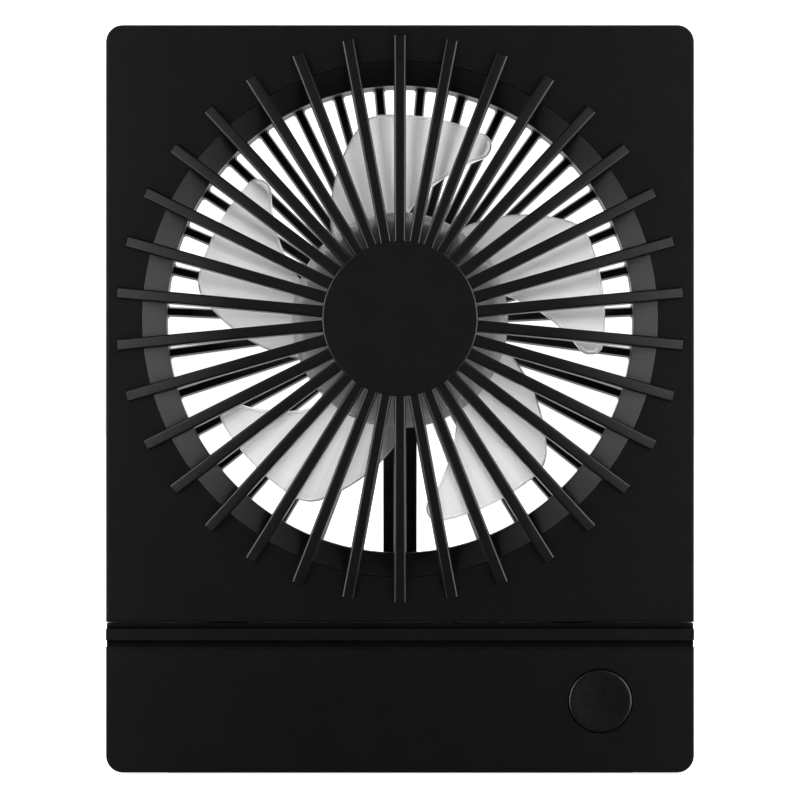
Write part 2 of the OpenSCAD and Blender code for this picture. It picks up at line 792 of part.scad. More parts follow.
module base_rear_cover() {
    color("#19191a") front_plane() difference() {
        union() {
            difference() {
                union() {
                    slab(split_d, body_t - edge_c) base_outline();
                    slab(body_t - edge_c, body_t) base_outline(edge_c);
                }
                slab(split_d - 1, back_in) base_outline(wall);
            }
            block([-recess_x - recess_wall, recess_x + recess_wall], [recess_d - recess_wall, back_in + eps],
                  [pad_proud + 0.5, pivot_z + foot_len + moving_gap + recess_wall - 0.6]);
            base_boss_places() peg(0, 0, boss_r - 0.2, boss_back + fixed_gap, back_in + eps);
        }
        block([-recess_x, recess_x], [recess_d, body_t + 1], [-1, pivot_z + foot_len + moving_gap]);
        cable_hole(base_top - wall - 1, base_top + 1);
        cross_pin(-recess_x - 1.2, recess_x + 1.2, pivot_d, pivot_z, foot_pin_r);
        pad_pocket(0);
        base_boss_places() {
            peg(0, 0, screw_r + 0.15, boss_back - 1, body_t + 1);
            peg(0, 0, screw_head_r + fixed_gap, body_t - 1.6, body_t + 1);
        }
    }
}

module base_screws() {
    color("#8c8f92") front_plane() base_boss_places() depth_screw(0, 0, body_t - 0.2, 11, 1);
}

module base_pad() {
    color("#232323") front_plane()
        block([-pad_size[0] / 2, pad_size[0] / 2], [pad_d - pad_size[1] / 2, pad_d + pad_size[1] / 2],
              [0, pad_proud + pad_depth]);
}

module main_board() {
    color("#1f5a3a") front_plane() difference() {
        union() {
            block([pcb_x0, pcb_x1], [pcb_d, pcb_d + pcb_t], [pcb_z0, pcb_z1]);
            block([pcb_x1 - 1, socket_x - 3], [pcb_d, pcb_d + pcb_t], [socket_z - 5, socket_z + 5]);
            // driver chip and storage coil
            block([pcb_x0 + 8, pcb_x0 + 13], [pcb_d + pcb_t - eps, pcb_d + pcb_t + 1.2],
                  [socket_z - 2, socket_z + 3]);
            block([pcb_x0 + 18, pcb_x0 + 24], [pcb_d + pcb_t - eps, pcb_d + pcb_t + 3],
                  [socket_z, socket_z + 6]);
        }
        for (p = board_boss) peg(p[0], p[1], screw_r + 0.1, pcb_d - 1, pcb_d + pcb_t + 1);
    }
}

module board_screws() {
    color("#8c8f92") front_plane() for (p = board_boss)
        depth_screw(p[0], p[1], pcb_d + pcb_t + 1.4, 6.6, 1);
}

module push_switch() {
    h = switch_size / 2;
    color("#2b2b2d") front_plane() difference() {
        block([button_x - h, button_x + h], [switch_front, pcb_d], [button_z - h, button_z + h]);
        peg(button_x, button_z, plunger_r + running_gap, switch_front - 1, pcb_d - 0.6);
    }
}

module charging_socket() {
    color("#b9bcc0") front_plane() difference() {
        socket_shape(socket_x - 7, socket_x, 0);
        socket_shape(socket_x - 6, socket_x + 1, -0.35);
    }
}

module battery() {
    color("#8f9599") front_plane()
        block([battery_x0, battery_x1], [wall + foam_t, wall + foam_t + battery_t], [battery_z0, battery_z1]);
}

module battery_foam() {
    color("#3a3a3c") front_plane()
        block([battery_x0 + 6, battery_x1 - 6], [wall, wall + foam_t], [battery_z0 + 4, battery_z1 - 4]);
}

// Flat cable from the board, behind the battery and up into the hinge bar.
module base_cable() {
    cable_d = pcb_d + pcb_t;
    turn_z = base_top - wall - 1.4;
    hole_d = bar_back - 2.4;
    color("#2a2a2c") front_plane() {
        block([0, pcb_x0 + 4], [cable_d, cable_d + cable_t], [turn_z - 10.5, turn_z - 6.5]);
        flat_cable([cable_d, cable_d + cable_t], [turn_z - 10.5, turn_z]);
        flat_cable([cable_d, hole_d + cable_t / 2], [turn_z - cable_t, turn_z]);
        flat_cable([hole_d - cable_t / 2, hole_d + cable_t / 2], [turn_z - eps, bar_top - 1]);
    }
}

// The way of the cable through the walls at the hinge.
module cable_hole(z0, z1) {
    block([-4, 4], [bar_back - 4, bar_back - 0.8], [z0, z1]);
}

// ---- button ----

module button_cap() {
    color("#1b1b1c") front_plane() union() {
        peg(button_x, button_z, button_r - 0.3, -button_proud, 0.3 - button_proud);
        peg(button_x, button_z, button_r, 0.3 - button_proud, button_back + eps);
        peg(button_x, button_z, flange_r, button_back, button_back + flange_t);
        peg(button_x, button_z, stem_r, button_back, plunger_front);
    }
}

module switch_plunger() {
    color("#d9d9d4") front_plane() peg(button_x, button_z, plunger_r, plunger_front, switch_front + 1);
}

// ---- foot ----

module foot() {
    color("#1b1b1c") front_plane() difference() {
        union() {
            block([-foot_half_w, foot_half_w], [pivot_d - foot_t / 2, pivot_d + foot_t / 2],
                  [pivot_z, pivot_z + foot_len]);
            cross_pin(-foot_half_w, foot_half_w, pivot_d, pivot_z, foot_t / 2);
        }
        for (s = [-1, 1])
            cross_pin(s * foot_half_w - 3, s * foot_half_w + 3, pivot_d, pivot_z, foot_pin_r + running_gap);
        foot_pad_places(0.05);
        // scoop for a fingernail
        peg(0, pivot_z + foot_len + 1, 6, pivot_d, body_t);
    }
}

module foot_pad_places(gap) {
    for (s = [-1, 1]) translate([s * foot_pad_x, 0, pivot_z + foot_len - 6])
        block([-foot_pad_size[0] / 2 - gap, foot_pad_size[0] / 2 + gap],
              [body_t - pad_proud - foot_pad_depth, body_t],
              [-foot_pad_size[1] / 2 - gap, foot_pad_size[1] / 2 + gap]);
}

module foot_pads() {
    color("#232323") front_plane() foot_pad_places(0);
}

module foot_pins() {
    color("#b9bcc0") front_plane() for (s = [-1, 1])
        cross_pin(s * (foot_half_w - 0.6) - 2, s * (foot_half_w - 0.6) + 2, pivot_d, pivot_z, foot_pin_r);
}

head_front_cover();
front_grille();
head_rear_cover();
air_duct();
rear_grille();
duct_cover();
head_screws();
duct_screws();
hinge_arms();
arm_screws();
bearing_tube();
bearing_front();
bearing_rear();
stator_core();
stator_coils();
motor_board();
motor_cable();
impeller_hub();
impeller_blades();
rotor_yoke();
rotor_magnet();
hub_bush();
motor_shaft();
shaft_clip();
hinge_bar();
bar_screws();
hinge_pins();
friction_washers();
base_front_cover();
base_rear_cover();
base_screws();
base_pad();
main_board();
board_screws();
push_switch();
charging_socket();
battery();
battery_foam();
base_cable();
foot_pins();
button_cap();
switch_plunger();
foot();
foot_pads();
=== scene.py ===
"""Slim battery desk fan: finished shapes, materials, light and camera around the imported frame.

Shapes are modelled in millimetres with X to the right, Z up and Y the depth behind the front panel,
and are moved into the frame, which is in metres, when a piece is finished.
"""
import json
import math

import bmesh
import bpy
from mathutils import Matrix, Vector


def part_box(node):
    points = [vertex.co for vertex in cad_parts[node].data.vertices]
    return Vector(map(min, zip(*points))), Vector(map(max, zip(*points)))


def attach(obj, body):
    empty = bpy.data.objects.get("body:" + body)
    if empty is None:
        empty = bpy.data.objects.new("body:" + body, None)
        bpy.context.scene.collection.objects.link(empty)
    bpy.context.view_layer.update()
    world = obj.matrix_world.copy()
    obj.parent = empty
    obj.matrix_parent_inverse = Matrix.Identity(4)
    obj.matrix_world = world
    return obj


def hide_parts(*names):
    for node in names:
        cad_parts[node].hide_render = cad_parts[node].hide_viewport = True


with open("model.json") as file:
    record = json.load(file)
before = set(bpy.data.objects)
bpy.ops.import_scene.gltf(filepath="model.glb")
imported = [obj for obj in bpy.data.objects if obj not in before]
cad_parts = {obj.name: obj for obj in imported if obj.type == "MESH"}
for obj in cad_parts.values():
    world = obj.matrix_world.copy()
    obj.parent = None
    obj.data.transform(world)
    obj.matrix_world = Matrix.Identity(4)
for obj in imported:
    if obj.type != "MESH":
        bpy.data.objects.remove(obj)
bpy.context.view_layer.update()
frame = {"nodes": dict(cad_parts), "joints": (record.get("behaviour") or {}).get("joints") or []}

# ---- places, in millimetres ----

FACE_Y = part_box("head_front_cover")[0].y
TO_FRAME = Matrix.Translation((0, FACE_Y, 0)) @ Matrix.Scale(0.001, 4)
TO_MM = TO_FRAME.inverted()


def corners(node):
    """Lowest and highest corner of a CAD node, with Y as the depth behind the front panel."""
    return [TO_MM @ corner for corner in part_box(node)]


def joint_place(name):
    """The point of a joint, with Y as the depth behind the front panel."""
    return TO_MM @ Vector(next(j["pos_m"] for j in frame["joints"] if j["name"] == name))


AXIS_Z = joint_place("rotor_spin").z
BACK_D = corners("head_rear_cover")[1].y

# front ring, centre disc and ribs
DISC_FRONT = corners("front_grille")[0].y
RING_BACK = corners("front_grille")[1].y
RIB_END_R = corners("front_grille")[1].x
RING_R = 64.0
THROAT_R = 58.2
RING_DEPTH = 2.6
RING_WALL = 1.6
DISC_R = 19.2
DISC_WALL = 1.6
DISC_STEP = 0.4
RIB_COUNT = 34
RIB_FRONT_W = 2.7
RIB_BACK_W = 3.1
RIB_FLAT_R = 28.0
RIB_PROUD = 0.8
RIB_BACK = 3.6
RIB_FILLET = 0.5
RIB_END_FILLET = 0.12
THROAT_FILLET = 0.35
DISC_FILLET = 0.4

# guard behind the blades
GUARD_FRONT = 22.4
GUARD_FLANGE_R = corners("rear_grille")[1].x
DUCT_OUT = GUARD_FLANGE_R - 2.0
DUCT_R = DUCT_OUT - 1.6
GUARD_FLANGE_BACK = BACK_D - 2.0
GUARD_RIBS = 34
GUARD_STEP = 360 / 35
GUARD_RIB_W = 2.0
GUARD_RIB_BACK_W = 2.6
GUARD_FILLET = 0.35
SEAT_R = 24.2
SEAT_FRONT = BACK_D - 2.4
SEAT_RIM = 1.4
SEAT_RIM_H = 2.4
SEAT_FILLET = 0.6
TUBE_RIM = 1.6
BAR_HALF = 4.3
BAR_WALL = 1.2

# impeller
HUB_R = corners("impeller_hub")[1].x
HUB_FRONT = corners("impeller_hub")[0].y
HUB_BACK = corners("impeller_hub")[1].y
HUB_WALL = 1.4
HUB_FILLET = 2.2
TIP_R = 52.0
BLADES = 5
BLADE_FRONT = corners("impeller_blades")[0].y
BLADE_BACK = corners("impeller_blades")[1].y
BLADE_T = 1.2
BLADE_START = 33.0
BLADE_SWEEP = 1.2
BLADE_SPAN = 43.0
BLADE_FRONT_CORNER = 10.0
BLADE_BACK_CORNER = 3.2
BLADE_ROUND = 0.4
BEAD_HEIGHT = 0.14
BEAD_W = 0.9
BEAD_SLOPE_W = 0.16

# rounding of the covers' outer edges
COVER_FILLET = 0.16
CABLE_COVER_FILLET = 0.35


# ---- bmesh helpers ----

def block(bm, low, high):
    """A box between two corners."""
    size = Vector(high) - Vector(low)
    middle = (Vector(high) + Vector(low)) / 2
    matrix = Matrix.Translation(middle) @ Matrix.Diagonal((*size, 1))
    return bmesh.ops.create_cube(bm, size=1, matrix=matrix)["verts"]


def turned(bm, profile, steps, x=0.0, z=AXIS_Z):
    """A closed profile of (radius, depth), spun a full turn around an axis along the depth."""
    verts = [bm.verts.new((x + r, d, z)) for r, d in profile]
    edges = [bm.edges.new(pair) for pair in zip(verts, verts[1:] + verts[:1])]
    bmesh.ops.spin(bm, geom=verts + edges, cent=(x, 0, z), axis=(0, 1, 0), angle=math.tau,
                   steps=steps, use_merge=True)
    bmesh.ops.remove_doubles(bm, verts=bm.verts, dist=1e-4)


def repeat(bm, geom, count, step):
    """Copies of a shape around the fan's axis, a number of degrees apart, clockwise from the first."""
    bmesh.ops.spin(bm, geom=geom, cent=(0, 0, AXIS_Z), axis=(0, 1, 0), steps=count - 1,
                   angle=math.radians(step * (count - 1)), use_duplicate=True)


def stretch(bm, face, way):
    """Pushes a face out into a bar. Returns the bar's new end."""
    made = bmesh.ops.extrude_face_region(bm, geom=[face])["geom"]
    bmesh.ops.translate(bm, verts=[g for g in made if isinstance(g, bmesh.types.BMVert)], vec=way)
    return next(g for g in made if isinstance(g, bmesh.types.BMFace))


def edges_where(bm, test):
    """Edges with both ends in a region."""
    return [e for e in bm.edges if all(test(v.co) for v in e.verts)]


def hoop(bm, radius, depth, x=0.0, z=AXIS_Z):
    """The round edge at a radius and depth."""
    def on(co):
        return abs(math.hypot(co.x - x, co.z - z) - radius) < 0.02 and abs(co.y - depth) < 0.01
    return edges_where(bm, on)


def fillet(bm, edges, radius, segments=3):
    """Rounds edges."""
    bmesh.ops.bevel(bm, geom=edges, offset=radius, offset_type="OFFSET", segments=segments, profile=0.5,
                    affect="EDGES", material=-1, clamp_overlap=True, loop_slide=True)


def solid(bm):
    """Closes the seams and turns the faces outwards."""
    bmesh.ops.remove_doubles(bm, verts=bm.verts, dist=1e-4)
    bmesh.ops.recalc_face_normals(bm, faces=bm.faces)
    return bm


def joined(bm, tool, operation="UNION"):
    """One solid from two, by union or difference."""
    objects = []
    for part in (bm, tool):
        mesh = bpy.data.meshes.new("work")
        solid(part).to_mesh(mesh)
        part.free()
        objects.append(bpy.data.objects.new("work", mesh))
        bpy.context.scene.collection.objects.link(objects[-1])
    cut = objects[0].modifiers.new("cut", "BOOLEAN")
    cut.operation, cut.object, cut.solver = operation, objects[1], "EXACT"
    result = bmesh.new()
    result.from_object(objects[0], bpy.context.evaluated_depsgraph_get())
    for made in objects:
        mesh = made.data
        bpy.data.objects.remove(made)
        bpy.data.meshes.remove(mesh)
    bmesh.ops.remove_doubles(result, verts=result.verts, dist=1e-3)
    bmesh.ops.dissolve_degenerate(result, edges=result.edges, dist=1e-3)
    return result


def merged_copy(node):
    """A CAD node's shape with its loose triangles merged and its flat faces made whole."""
    bm = bmesh.new()
    bm.from_mesh(frame["nodes"][node].data)
    bm.transform(TO_MM)
    bmesh.ops.remove_doubles(bm, verts=bm.verts, dist=1e-3)
    bmesh.ops.dissolve_limit(bm, angle_limit=math.radians(0.6), verts=bm.verts, edges=bm.edges,
                             use_dissolve_boundaries=False)
    return bm


def crests(bm, test, least=30):
    """Outward-pointing edges, sharper than an angle, that lie in a region."""
    return [e for e in edges_where(bm, test)
            if len(e.link_faces) == 2 and e.is_convex and e.calc_face_angle() > math.radians(least)]


def piece(bm, name, body, material, replaced, sharp=40):
    """Moves a finished shape into the frame as a piece that rides on a body and stands for CAD nodes."""
    bm.transform(TO_FRAME)
    mesh = bpy.data.meshes.new(name)
    bm.to_mesh(mesh)
    bm.free()
    mesh.materials.append(material)
    mesh.shade_smooth()
    mesh.set_sharp_from_angle(angle=math.radians(sharp))
    made = bpy.data.objects.new(name, mesh)
    bpy.context.scene.collection.objects.link(made)
    even = made.modifiers.new("even shading", "WEIGHTED_NORMAL")
    even.keep_sharp = True
    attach(made, body)
    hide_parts(*replaced)
    return made


# ---- materials ----

def linear(code, alpha=1.0):
    """An sRGB hex colour as linear red, green, blue and alpha."""
    parts = [int(code[i:i + 2], 16) / 255 for i in (1, 3, 5)]
    return (*[c / 12.92 if c <= 0.04045 else ((c + 0.055) / 1.055) ** 2.4 for c in parts], alpha)


def per_metre(size_mm):
    """A pattern's scale, from the real size of its features."""
    return 1000 / size_mm


def add(tree, kind, inputs=(), **settings):
    """Adds a node. The inputs are values, or outputs to link from."""
    made = tree.nodes.new(kind)
    for key, value in settings.items():
        setattr(made, key, value)
    for key, value in dict(inputs).items():
        if isinstance(value, bpy.types.NodeSocket):
            tree.links.new(value, made.inputs[key])
        else:
            made.inputs[key].default_value = value
    return made


def finish_named(name, **sockets):
    """A new material with its shader's own values set. Returns it with its tree, shader and coordinates."""
    material = bpy.data.materials.new(name)
    material.use_nodes = True
    tree = material.node_tree
    shader = tree.nodes["Principled BSDF"]
    for key, value in sockets.items():
        shader.inputs[key.replace("_", " ")].default_value = value
    coords = add(tree, "ShaderNodeTexCoord").outputs["Object"]
    return material, tree, shader, coords


def spread(tree, value, low, high, from_low=0.3, from_high=0.7):
    """A pattern's value brought into a range."""
    return add(tree, "ShaderNodeMapRange", {"Value": value, "From Min": from_low, "From Max": from_high,
                                            "To Min": low, "To Max": high}).outputs["Result"]


def tones(tree, factor, dark, light):
    """Two colours mixed by a pattern."""
    return add(tree, "ShaderNodeMix", {0: factor, 6: linear(dark), 7: linear(light)},
               data_type="RGBA").outputs[2]


def link(tree, output, shader, name):
    tree.links.new(output, shader.inputs[name])


def moulded_abs(name, dark, light, grain_mm, rough, relief):
    """Black ABS from a spark-eroded mould: an even dark grey with a fine grain that sparkles where light
    skims it, and faint cloudy changes of gloss a few millimetres wide. The real grain is about 0.1 mm, and
    is drawn coarser so that it shows."""
    material, tree, shader, coords = finish_named(name, IOR=1.53)
    grain = add(tree, "ShaderNodeTexNoise", {"Vector": coords, "Scale": per_metre(grain_mm), "Detail": 3,
                                             "Roughness": 0.6})
    cloud = add(tree, "ShaderNodeTexNoise", {"Vector": coords, "Scale": per_metre(7), "Detail": 2})
    soft = spread(tree, cloud.outputs["Fac"], -0.04, 0.04)
    both = add(tree, "ShaderNodeMath", {0: grain.outputs["Fac"], 1: soft}, operation="ADD")
    shade = spread(tree, both.outputs[0], 0, 1, 0.35, 0.65)
    link(tree, tones(tree, shade, dark, light), shader, "Base Color")
    gloss = spread(tree, both.outputs[0], rough - 0.01, rough + 0.03, 0.35, 0.65)
    link(tree, gloss, shader, "Roughness")
    bump = add(tree, "ShaderNodeBump", {"Height": grain.outputs["Fac"], "Strength": relief,
                                        "Distance": 0.00025})
    link(tree, bump.outputs["Normal"], shader, "Normal")
    return material


def milky_polycarbonate():
    """Frosted, milky polycarbonate: neutral white. Its thin blades blur what is behind them and its thick
    hub hides it. Faint flow lines run out from the hub, where the plastic entered the mould."""
    material, tree, shader, coords = finish_named(
        "milky frosted polycarbonate, moulded", IOR=1.5, Subsurface_Weight=0.5,
        Subsurface_Scale=0.008, Subsurface_Radius=(1, 1, 1))
    spot = add(tree, "ShaderNodeSeparateXYZ", {"Vector": coords})
    drop = add(tree, "ShaderNodeMath", {0: spot.outputs["Z"], 1: AXIS_Z / 1000}, operation="SUBTRACT")
    angle = add(tree, "ShaderNodeMath", {0: spot.outputs["X"], 1: drop.outputs[0]}, operation="ARCTAN2")
    flat_place = add(tree, "ShaderNodeCombineXYZ", {"X": spot.outputs["X"], "Y": drop.outputs[0]})
    radius = add(tree, "ShaderNodeVectorMath", {0: flat_place.outputs[0]}, operation="LENGTH")
    clear = spread(tree, radius.outputs["Value"], 0.1, 0.75, 0.0235, 0.0255)
    link(tree, clear, shader, "Transmission Weight")
    # flow lines about 0.5 mm apart at the hub's rim, 27 mm from the axis
    flow_at = add(tree, "ShaderNodeCombineXYZ", {"X": angle.outputs[0], "Y": spot.outputs["Y"]})
    flow = add(tree, "ShaderNodeTexNoise", {"Vector": flow_at.outputs[0], "Scale": 27 / 0.5,
                                            "Detail": 2})
    frost = add(tree, "ShaderNodeTexNoise", {"Vector": coords, "Scale": per_metre(0.6), "Detail": 3})
    streaks = spread(tree, flow.outputs["Fac"], 0, 1)
    link(tree, tones(tree, streaks, "#ededed", "#ffffff"), shader, "Base Color")
    link(tree, spread(tree, frost.outputs["Fac"], 0.36, 0.5), shader, "Roughness")
    bump = add(tree, "ShaderNodeBump", {"Height": flow.outputs["Fac"], "Strength": 0.25,
                                        "Distance": 0.0001})
    link(tree, bump.outputs["Normal"], shader, "Normal")
    return material


def metal(name, dark, light, rough, scratch_mm, stretch=(1, 1, 1), relief=0.15):
    """Bare or plated metal: its colour and gloss vary slightly along fine marks left by its making."""
    material, tree, shader, coords = finish_named(name, Metallic=1.0)
    along = add(tree, "ShaderNodeMapping", {"Vector": coords, "Scale": stretch})
    marks = add(tree, "ShaderNodeTexNoise", {"Vector": along.outputs[0], "Scale": per_metre(scratch_mm),
                                             "Detail": 4})
    link(tree, tones(tree, spread(tree, marks.outputs["Fac"], 0, 1), dark, light), shader, "Base Color")
    link(tree, spread(tree, marks.outputs["Fac"], rough - 0.08, rough + 0.12), shader, "Roughness")
    bump = add(tree, "ShaderNodeBump", {"Height": marks.outputs["Fac"], "Strength": relief,
                                        "Distance": 0.00005})
    link(tree, bump.outputs["Normal"], shader, "Normal")
    return material


def matte(name, dark, light, feature_mm, rough, relief, depth_mm=0.1):
    """Rubber, foam, board, film and other dull stuff: an uneven colour and a relief at its own scale."""
    material, tree, shader, coords = finish_named(name, IOR=1.5)
    pattern = add(tree, "ShaderNodeTexNoise", {"Vector": coords, "Scale": per_metre(feature_mm),
                                               "Detail": 3})
    shade = spread(tree, pattern.outputs["Fac"], 0, 1)
    link(tree, tones(tree, shade, dark, light), shader, "Base Color")
    link(tree, spread(tree, pattern.outputs["Fac"], rough - 0.05, rough + 0.08), shader, "Roughness")
    bump = add(tree, "ShaderNodeBump", {"Height": pattern.outputs["Fac"], "Strength": relief,
                                        "Distance": depth_mm / 1000})
    link(tree, bump.outputs["Normal"], shader, "Normal")
    return material


# matt black shell: dark grey where it faces the eye, paler and speckled where light skims its grain
COVER = moulded_abs("black ABS, spark-eroded grain", "#09090a", "#0f0f10", 0.3, 0.29, 0.23)
# the same plastic from a finer mould: its rounded rib edges catch thin pale lines
GRILLE = moulded_abs("black ABS, fine grain", "#09090a", "#0f0f10", 0.28, 0.31, 0.23)
# smoother and darker, so that the guard behind the blades reads as black bars
GUARD = moulded_abs("black ABS, smooth mould", "#070708", "#0d0d0e", 0.6, 0.42, 0.12)
# a key worn a little smoother than the panel around it
BUTTON = moulded_abs("black ABS, fine matte key", "#070708", "#121213", 0.4, 0.3, 0.3)
MILKY = milky_polycarbonate()
# dull blue-grey plating with a soft shine
ZINC = metal("zinc-plated steel", "#8f9296", "#c3c6c9", 0.34, 0.8)
# satin sheet with rolling marks that run along it
STAINLESS = metal("stainless steel, rolled", "#8a8c8f", "#b9bbbe", 0.3, 0.5, (6, 1, 1))
# bright pins and races with fine marks around them
BRIGHT_STEEL = metal("ground steel", "#b4b8bc", "#d6d9dc", 0.22, 0.3, (1, 6, 1))
# warm yellow, with the fine rings of a lathe tool
BRASS = metal("brass, turned", "#a98d4a", "#d4b76c", 0.3, 0.4, (1, 8, 1))
# slightly warm, even silver shell
NICKEL = metal("nickel-plated steel", "#9da0a3", "#c9ccce", 0.28, 0.7)
# glossy orange-brown strands side by side
COPPER = metal("enamelled copper wire", "#8f4a22", "#c8713a", 0.32, 0.35, (1, 1, 7), 0.6)
# grey stack with the edges of its 0.5 mm sheets showing as lines
LAMINATED = metal("silicon steel laminations", "#4a4d51", "#777b80", 0.42, 0.5, (0.05, 12, 0.05), 0.7)
# charcoal ring, dull and slightly gritty
MAGNET = matte("bonded ferrite magnet", "#2f2e30", "#4c4b4e", 0.5, 0.55, 0.3)
# soft black that barely shines
RUBBER = matte("black silicone rubber", "#161616", "#242424", 0.5, 0.72, 0.35)
# black sheath with a waxy shine
CABLE = matte("PVC flat cable", "#1b1b1d", "#2c2c2e", 0.6, 0.45, 0.15)
# glossy green lacquer over a faint glass weave
BOARD = matte("solder mask on fibreglass board", "#134028", "#1f6a40", 0.9, 0.35, 0.3)
# plain black switch body, half matt
SWITCH = matte("black nylon", "#1c1c1e", "#2a2a2c", 0.5, 0.5, 0.2)
# slightly waxy off-white
ACETAL = matte("white acetal", "#cfcfc9", "#e6e6e1", 0.6, 0.4, 0.1)
# grey film with shallow wrinkles that shine
WRAP = matte("battery shrink film over aluminium", "#7f868b", "#a3a9ad", 6, 0.32, 0.5, 0.2)
# open, light-swallowing dark grey
FOAM = matte("closed-cell foam", "#29292b", "#434346", 0.7, 0.85, 0.8, 0.3)


# ---- head ----

def rib_height(radius):
    """Depth of a front rib's face at a radius: level near the disc, then falling away to the panel."""
    fall = -DISC_FRONT - RIB_PROUD
    share = max(0.0, radius - RIB_FLAT_R) / (RIB_END_R - RIB_FLAT_R)
    return max(DISC_FRONT + fall * share * share, DISC_FRONT + DISC_STEP)


def front_grille():
    """Countersunk ring, centre disc and ribs."""
    bm = bmesh.new()
    turned(bm, [(RING_R, 0), (THROAT_R, RING_DEPTH), (THROAT_R, RING_BACK),
                (THROAT_R + RING_WALL, RING_BACK), (THROAT_R + RING_WALL, RING_DEPTH + RING_WALL),
                (RING_R - RING_WALL, RING_DEPTH), (RING_R - RING_WALL, RING_BACK),
                (RING_R, RING_BACK)], 192)
    fillet(bm, hoop(bm, THROAT_R, RING_DEPTH), THROAT_FILLET)
    turned(bm, [(0, DISC_FRONT), (DISC_R, DISC_FRONT), (DISC_R, 0.3), (DISC_R - DISC_WALL, 0.3),
                (DISC_R - DISC_WALL, DISC_FRONT + 2), (0, DISC_FRONT + 2)], 160)
    fillet(bm, hoop(bm, DISC_R, DISC_FRONT), DISC_FILLET, 4)

    ribs = bmesh.new()
    root = DISC_R - DISC_WALL / 2
    steps = 14
    radii = [root + (RIB_END_R - root) * i / steps for i in range(steps + 1)]
    front = [(r, rib_height(r)) for r in radii]
    back = [(RIB_END_R, 0.0), (RING_R, 0.05), (THROAT_R + 0.6, RING_DEPTH + 0.6),
            (THROAT_R + 0.4, RIB_BACK), (root, 0.25)]
    outline = [ribs.verts.new((0, d, AXIS_Z + r)) for r, d in front + back]
    face = ribs.faces.new(outline)
    stretch(ribs, face, (1, 0, 0))
    for v in ribs.verts:
        share = (v.co.y - DISC_FRONT) / (RIB_BACK - DISC_FRONT)
        half = (RIB_FRONT_W + (RIB_BACK_W - RIB_FRONT_W) * share) / 2
        v.co.x = half if v.co.x > 0.5 else -half
    bmesh.ops.recalc_face_normals(ribs, faces=ribs.faces)
    rows = [e for e in ribs.edges
            if all(abs(v.co.y - rib_height(v.co.z - AXIS_Z)) < 1e-3 for v in e.verts)
            and abs(e.verts[0].co.x - e.verts[1].co.x) < 0.5]
    fillet(ribs, rows, RIB_FILLET, 4)
    ends = [e for e in ribs.edges if all(v.co.z - AXIS_Z > RIB_END_R - 1e-3 for v in e.verts)
            and max(v.co.y for v in e.verts) < -0.1 and abs(e.verts[0].co.x - e.verts[1].co.x) > 0.02]
    fillet(ribs, ends, RIB_END_FILLET, 2)
    repeat(ribs, ribs.verts[:] + ribs.edges[:] + ribs.faces[:], RIB_COUNT, 360 / RIB_COUNT)
    return piece(joined(bm, ribs), "front_grille_ribs", "head", GRILLE, ["front_grille"],
                 35)


# ---- back of the head ----

def rear_guard():
    """Ring, ribs, motor seat and cable bar behind the blades."""
    bm = bmesh.new()
    turned(bm, [(DUCT_R, GUARD_FRONT), (DUCT_R, BACK_D), (DUCT_OUT, BACK_D), (DUCT_OUT, GUARD_FLANGE_BACK),
                (GUARD_FLANGE_R, GUARD_FLANGE_BACK), (GUARD_FLANGE_R, GUARD_FRONT)], 192)
    fillet(bm, hoop(bm, DUCT_R, BACK_D) + hoop(bm, DUCT_OUT, BACK_D), GUARD_FILLET)
    tube_r = corners("bearing_tube")[1].x
    rim_r, rim_front = SEAT_R - SEAT_RIM, SEAT_FRONT - SEAT_RIM_H
    turned(bm, [(0, BACK_D - 1), (tube_r, BACK_D - 1), (tube_r, rim_front), (tube_r + TUBE_RIM, rim_front),
                (tube_r + TUBE_RIM, SEAT_FRONT), (rim_r, SEAT_FRONT), (rim_r, rim_front),
                (SEAT_R, rim_front), (SEAT_R, BACK_D), (0, BACK_D)], 160)
    fillet(bm, hoop(bm, SEAT_R, BACK_D), SEAT_FILLET, 4)

    bar = bmesh.new()
    wall, front, floor = BAR_HALF - BAR_WALL, GUARD_FRONT + 0.2, BACK_D - BAR_WALL
    section = [(-BAR_HALF, front), (-wall, front), (-wall, floor), (wall, floor), (wall, front),
               (BAR_HALF, front), (BAR_HALF, BACK_D), (-BAR_HALF, BACK_D)]
    low_z = AXIS_Z - DUCT_R - 0.8
    end = bar.faces.new([bar.verts.new((x, d, low_z)) for x, d in section])
    stretch(bar, end, (0, 0, DUCT_R + 1.8 - SEAT_R))
    bmesh.ops.recalc_face_normals(bar, faces=bar.faces)
    outer = edges_where(bar, lambda co: co.y > BACK_D - 0.01 and abs(co.x) > BAR_HALF - 0.01)
    fillet(bar, outer, 0.4)

    ribs = bmesh.new()
    half, wide, back = GUARD_RIB_W / 2, GUARD_RIB_BACK_W / 2, BACK_D - 0.2
    shoulder = [(half - 0.4, front), (half - 0.13, front + 0.1), (half - 0.02, front + 0.35),
                (wide, back)]
    section = shoulder + [(-x, d) for x, d in reversed(shoulder)]
    end = ribs.faces.new([ribs.verts.new((x, d, AXIS_Z + SEAT_R - 0.8)) for x, d in section])
    for radius, widen in ((DUCT_R - 0.7, 1.0), (DUCT_R - 0.35, 1.08), (DUCT_R - 0.1, 1.22),
                          (DUCT_R + 0.5, 1.3)):
        step = AXIS_Z + radius - end.verts[0].co.z
        end = stretch(ribs, end, (0, 0, step))
        bmesh.ops.scale(ribs, verts=end.verts[:], vec=(widen, 1, 1))
    bmesh.ops.rotate(ribs, verts=ribs.verts[:], cent=(0, 0, AXIS_Z),
                     matrix=Matrix.Rotation(math.radians(-GUARD_STEP * (GUARD_RIBS - 1) / 2), 3, "Y"))
    repeat(ribs, ribs.verts[:] + ribs.edges[:] + ribs.faces[:], GUARD_RIBS, GUARD_STEP)
    return piece(joined(joined(bm, bar), ribs), "rear_guard", "head", GUARD, ["rear_grille"],
                 35)


